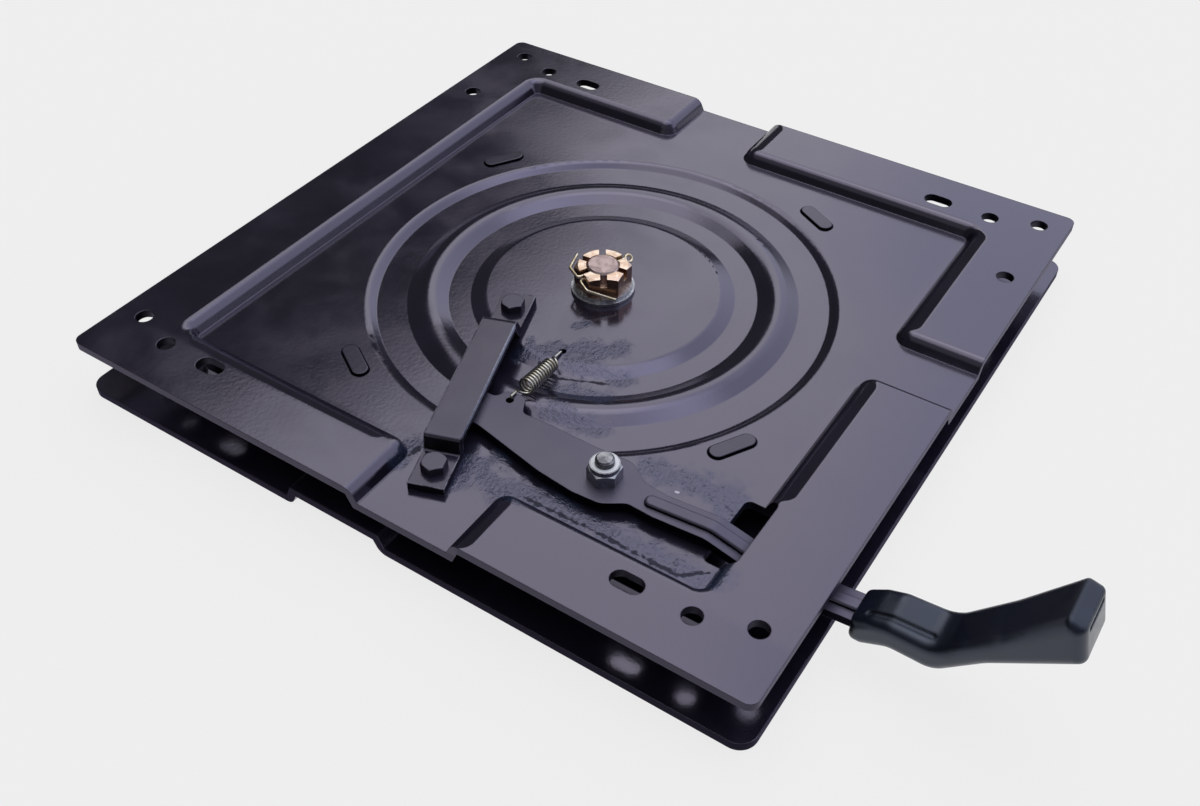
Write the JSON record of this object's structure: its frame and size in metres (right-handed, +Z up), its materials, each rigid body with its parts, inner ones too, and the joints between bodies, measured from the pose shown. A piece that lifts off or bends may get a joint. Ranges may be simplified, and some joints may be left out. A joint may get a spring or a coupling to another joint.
{
  "type": "swivel seat base",
  "caption": "Square swivel base for a vehicle seat: two pressed steel plates turning on a ball race round a king pin, with a spring-returned lock lever and a bent grip.",
  "frame": {"origin": "centre of the lower plate's underside, on the swivel axis, level with the underside of its rim", "axes": "+Z up along the swivel axis, +X towards the edge that the lever's grip sticks out of, +Y to the back edge"},
  "size_m": [0.4378, 0.344, 0.0752],
  "materials": {
    "plate_enamel": "dark grey semi-gloss enamel",
    "pin_steel": "bare machined steel",
    "cage_plastic": "matt black nylon",
    "ball_steel": "polished steel",
    "zinc_washer": "bright zinc plate",
    "yellow_zinc": "yellow passivated zinc",
    "pad_nylon": "grey nylon",
    "bolt_black": "painted over with the plates",
    "nylon_white": "white nylon",
    "spring_steel": "zinc-plated spring wire",
    "grip_plastic": "black satin plastic"
  },
  "bodies": {
    "base": {"lower_plate": "plate_enamel", "king_pin": "pin_steel", "lock_ring": "pin_steel", "ball_cage": "cage_plastic", "bearing_balls": "ball_steel", "king_washer_lower": "zinc_washer", "king_washer_upper": "zinc_washer", "castle_nut": "yellow_zinc", "split_pin": "yellow_zinc"},
    "turntable": {"upper_plate": "plate_enamel", "hold_down_strap": "plate_enamel", "glide_pad_1": "pad_nylon", "glide_pad_2": "pad_nylon", "glide_pad_3": "pad_nylon", "glide_pad_4": "pad_nylon", "strap_bolts": "bolt_black", "strap_nuts": "bolt_black", "pivot_bolt": "zinc_washer", "pivot_washer": "zinc_washer", "lock_nut": "zinc_washer", "lock_nut_insert": "nylon_white", "return_spring": "spring_steel"},
    "lever": {"lock_lever": "plate_enamel", "grip": "grip_plastic"}
  },
  "joints": [
    {"name": "swivel", "type": "hinge", "parent": "base", "child": "turntable", "pos_m": [0, 0, 0.01559], "axis": [0, 0, 1], "continuous": true},
    {"name": "lever_pivot", "type": "hinge", "parent": "turntable", "child": "lever", "pos_m": [0.0727, -0.109, 0.02866], "axis": [0, 0, 1], "range_deg": [-3.5, 8], "stiffness_Nm_per_rad": 2.7, "deforming": ["return_spring"]}
  ]
}
